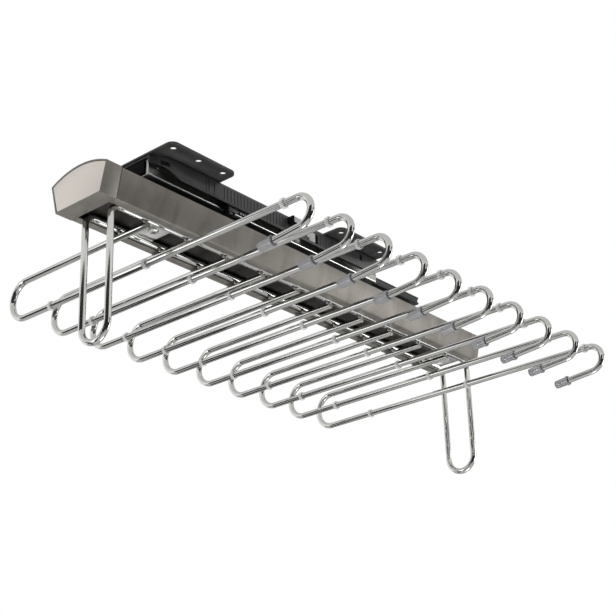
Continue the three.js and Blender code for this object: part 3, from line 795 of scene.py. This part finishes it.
turns = []
for turn in range(spring_turns):
    y = spring_start + turn * spring_pitch
    turns.append(((0.0262, y, -0.0185), (0.0300, y + spring_wire, -0.0130), 0.0003))
block_piece("stop_spring", (*turns, *spring_blocks), zinc, "bracket")
block_piece("pale_catch", catch_blocks, moulded_pale, "bracket")
block_piece("black_tab_holder", holder_blocks, black_plastic_and_shade, "bracket")
block_piece("pale_wall_tab", tab_blocks, moulded_pale, "bracket")

# Screws: two pan heads that hold the wire frame's plates up to the beam. They are cold headed
# steel, zinc plated, with a cross recess.
head_radius = 0.0043
head_height = 0.0024
flat_radius = 0.0031
head_profile = (
    (0.0, 0.0),
    (0.0, head_radius * 0.92),
    (0.0004, head_radius),
    (0.0012, head_radius * 0.98),
    (0.0019, head_radius * 0.88),
    (head_height, flat_radius),
)
head_steps = 32
cross_turn = math.radians(20)
cross_reach = 0.0023
cross_half_width = 0.00055
cross_depth = 0.0012
cross_arm = (
    (cross_half_width, cross_half_width),
    (cross_half_width, cross_reach),
    (-cross_half_width, cross_reach),
)

for number, middle in enumerate(weld_plate_middles):
    head = bmesh.new()
    seat = Vector((0, middle, dish_floor_z))
    turned(head, head_profile, seat, down, steps=head_steps)
    closed_up(head)
    top_z = seat.z - head_height * 0.9
    brim = [e for e in head.edges if e.is_boundary and all(v.co.z < top_z for v in e.verts)]
    cross = []
    for quarter in range(4):
        spin = Matrix.Rotation(cross_turn + quarter * math.pi / 2, 3, "Z")
        for x, y in cross_arm:
            corner = seat + down * head_height + spin @ Vector((x, y, 0))
            cross.append(head.verts.new(corner))
    outline = [head.edges.new(pair) for pair in zip(cross, cross[1:] + cross[:1])]
    bmesh.ops.triangle_fill(head, edges=brim + outline, use_beauty=True, use_dissolve=False)
    bottom, corners = next_rim(head, outline)
    bmesh.ops.translate(head, verts=corners, vec=-down * cross_depth)
    bmesh.ops.contextual_create(head, geom=bottom)
    bmesh.ops.recalc_face_normals(head, faces=head.faces)
    piece(f"pan_head_screw_{number + 1}", head, polished_zinc_and_highlight, "carriage")

# Studio: a pale floor far below the rack, a soft lamp overhead and four smaller ones about it, and
# boards outside the picture that the polished wires mirror. The camera looks up at the rack from
# its open side, and the wires mirror the upper part of the sky as a light grey.
middle_of_rack = (0, 0.15, -0.07)
floor_z = -1.8
floor_size = 11
floor_pale = (0.82, 0.82, 0.82, 1)
floor_paler = (0.86, 0.86, 0.86, 1)
floor_glow_seen = 0.45
floor_glow_mirrored = 0.09

plain, tree, shader, layer = filmed(
    "plain_floor", (floor_pale, floor_paler), roughness=(0.8, 0.9),
    clouds=2, specks=200, rough_by="Clouds",
)
rays = add_node(tree, "ShaderNodeLightPath", (-700, -400))
mirrored = spread(tree, rays.outputs["Is Glossy Ray"], 0, floor_glow_mirrored, (-400, -400))
glow = add_node(tree, "ShaderNodeMath", (-200, -400), operation="MULTIPLY_ADD")
tree.links.new(rays.outputs["Is Camera Ray"], glow.inputs[0])
glow.inputs[1].default_value = floor_glow_seen
tree.links.new(mirrored, glow.inputs[2])
tree.links.new(glow.outputs["Value"], shader.inputs["Emission Strength"])


def staged(name, mesh_builder, surface):
    """A thing of the studio, which isn't part of the rack."""
    mesh = bpy.data.meshes.new(name)
    mesh_builder.to_mesh(mesh)
    mesh_builder.free()
    mesh.materials.append(surface)
    made = bpy.data.objects.new(name, mesh)
    bpy.context.collection.objects.link(made)
    return made


ground = bmesh.new()
bmesh.ops.create_grid(
    ground, x_segments=1, y_segments=1, size=floor_size / 2,
    matrix=Matrix.Translation((*middle_of_rack[:2], floor_z)),
)
staged("floor", ground, plain)


def soft_lamp(name, place, target, size, power, mirrored=True):
    data = bpy.data.lights.new(name, "AREA")
    data.shape = "RECTANGLE"
    data.size, data.size_y = size
    data.energy = power
    lamp = bpy.data.objects.new(name, data)
    lamp.location = place
    lamp.rotation_euler = (Vector(target) - Vector(place)).to_track_quat("-Z", "Y").to_euler()
    lamp.visible_glossy = mirrored
    bpy.context.collection.objects.link(lamp)


soft_lamp("overhead_lamp", (0.2, -0.3, 1.6), middle_of_rack, (1.8, 1.8), 18, mirrored=False)
soft_lamp("front_lamp", (-0.05, -1.30, -0.97), middle_of_rack, (0.5, 0.6), 14.2, mirrored=False)
soft_lamp("low_lamp", (0.08, 0.44, -0.98), (0.16, 0.15, -0.10), (0.35, 0.5), 1.6)
soft_lamp("side_lamp", (1.35, 1.5, -0.25), middle_of_rack, (1.0, 1.4), 12.6)
soft_lamp("left_lamp", (-0.95, -1.18, -0.28), (0.055, 0.15, -0.08), (0.25, 0.85), 0.8)


def mirrored_board(name, low_edge, high_edge, surface):
    """A board that polished wire mirrors as a dark or a grey line."""
    strip = bmesh.new()
    low = [strip.verts.new(corner) for corner in low_edge]
    high = [strip.verts.new(corner) for corner in high_edge]
    for i in range(len(low) - 1):
        strip.faces.new((low[i], low[i + 1], high[i + 1], high[i]))
    staged(name, strip, surface).visible_camera = False


board_colour = (0.02, 0.02, 0.02, 1)
board_worn = (0.05, 0.05, 0.05, 1)
board_black, tree, shader, place = finish("black_board")
layer = place_group(tree, film, place, Cloud_Scale=3, Speck_Scale=200)
colour = two_colours(tree, layer.outputs["Clouds"], board_colour, board_worn)
tree.links.new(colour, shader.inputs["Base Color"])
set_inputs(shader, Roughness=0.9)
black_boards = {  # the corners of the lower edge, then those of the upper edge
    "low_left_board": (
        ((-0.625, -0.5, -0.8), (-0.625, 0.45, -0.8)),
        ((-0.80, -0.5, -0.8), (-0.80, 0.45, -0.8)),
    ),
    "left_board": (
        ((-0.80, -0.90, -0.8), (-0.80, -0.50, -0.8)),
        ((-0.80, -0.72, 0.1), (-0.80, -0.52, 0.1)),
    ),
    "right_board": (
        ((1.0, 0.10, -0.35), (1.0, 0.95, -0.35)),
        ((1.0, 0.10, 0.28), (1.0, 0.95, 0.28)),
    ),
    "low_rear_board": (
        ((-1.5, 1.1, -0.88), (0.2, 1.1, -0.88)),
        ((-1.5, 1.35, -0.62), (0.2, 1.35, -0.62)),
    ),
    "low_front_board": (
        ((-0.62, -0.90, -0.38), (-0.62, -0.90, -0.80), (-0.50, -0.55, -0.82)),
        ((-0.27, -0.90, -0.38), (-0.25, -0.90, -0.80), (-0.22, -0.55, -0.82)),
    ),
    "front_board": (
        ((-0.48, -1.7, -1.05), (0.62, -1.7, -1.05)),
        ((-0.48, -1.7, -0.05), (0.62, -1.7, -0.05)),
    ),
}
for board, (low_edge, high_edge) in black_boards.items():
    mirrored_board(board, low_edge, high_edge, board_black)
mirrored_board(
    "pale_rear_board",
    ((1.25, 2.7, -0.9), (-3.4, 3.0, -0.9)),
    ((1.25, 2.7, 2.6), (-3.4, 3.0, 2.6)),
    plain,
)

room_reach = 1.0
room_middle_y = -0.05
room_outline = (  # heading in degrees, lower and upper edge of the dark room behind the camera
    (-130, -0.05, 0.330),
    (-110, -0.05, 0.350),
    (-92, -0.05, 0.366),
    (-75, -0.60, 0.378),
    (-62, -0.85, 0.386),
    (-48, -0.85, 0.392),
    (-34, -0.85, 0.388),
    (-15, -0.85, 0.380),
    (-14, -0.85, -0.12),
    (5, -0.85, -0.14),
    (25, -0.80, -0.20),
)
edges_of_room = [[], []]
for heading, low, high in room_outline:
    turn = math.radians(heading)
    way = Vector((math.cos(turn), math.sin(turn), 0)) * room_reach
    for edge, height in zip(edges_of_room, (low, high)):
        edge.append(Vector((0, room_middle_y, height)) + way)
mirrored_board("dark_room", *edges_of_room, board_black)

lighting_strength = 0.45
upper_sky_mirrored = 0.7
upper_sky_from, upper_sky_to = 0.40, 0.50  # the sine of its height

world = bpy.data.worlds.new("studio")
bpy.context.scene.world = world
world.use_nodes = True
tree = world.node_tree
sky = tree.nodes["Background"]
rays = add_node(tree, "ShaderNodeLightPath", (-900, 0))
seen = add_node(tree, "ShaderNodeMath", (-600, 0), operation="MAXIMUM")
tree.links.new(rays.outputs["Is Camera Ray"], seen.inputs[0])
tree.links.new(rays.outputs["Is Transmission Ray"], seen.inputs[1])
lighting = spread(tree, seen.outputs["Value"], lighting_strength, 1.0)
heading = add_node(tree, "ShaderNodeTexCoord", (-900, -300))
split = add_node(tree, "ShaderNodeSeparateXYZ", (-700, -300))
tree.links.new(heading.outputs["Generated"], split.inputs["Vector"])
upper = add_node(tree, "ShaderNodeMapRange", (-500, -300))
set_inputs(
    upper, From_Min=upper_sky_from, From_Max=upper_sky_to, To_Min=1.0, To_Max=upper_sky_mirrored
)
tree.links.new(split.outputs["Z"], upper.inputs["Value"])
mirrored = add_node(tree, "ShaderNodeMath", (-300, -300), operation="MULTIPLY")
tree.links.new(rays.outputs["Is Glossy Ray"], mirrored.inputs[0])
tree.links.new(upper.outputs["Result"], mirrored.inputs[1])
strength = add_node(tree, "ShaderNodeMath", (-150, 0), operation="MAXIMUM")
tree.links.new(lighting, strength.inputs[0])
tree.links.new(mirrored.outputs["Value"], strength.inputs[1])
tree.links.new(strength.outputs["Value"], sky.inputs["Strength"])
set_inputs(sky, Color=(1, 1, 1, 1))

view_place = Vector((0.66039, -0.61364, -0.49821))
view_yaw = math.radians(40.2557)
view_pitch = math.radians(23.6057)
view_roll = math.radians(-1.8715)
view_focal = 1382.19 / 616  # in widths of the picture
sensor_width = 36

forward = Vector(
    (
        -math.sin(view_yaw) * math.cos(view_pitch),
        math.cos(view_yaw) * math.cos(view_pitch),
        math.sin(view_pitch),
    )
)
level_right = forward.cross(Vector((0, 0, 1))).normalized()
level_up = level_right.cross(forward)
right = level_right * math.cos(view_roll) + level_up * math.sin(view_roll)
up = level_up * math.cos(view_roll) - level_right * math.sin(view_roll)
data = bpy.data.cameras.new("camera")
data.sensor_width = sensor_width
data.lens = sensor_width * view_focal
data.clip_start = 0.01
camera = bpy.data.objects.new("camera", data)
bpy.context.collection.objects.link(camera)
turn = Matrix((right, up, -forward)).transposed().to_4x4()
camera.matrix_world = Matrix.Translation(view_place) @ turn
bpy.context.scene.camera = camera
bpy.context.scene.view_settings.view_transform = "Standard"
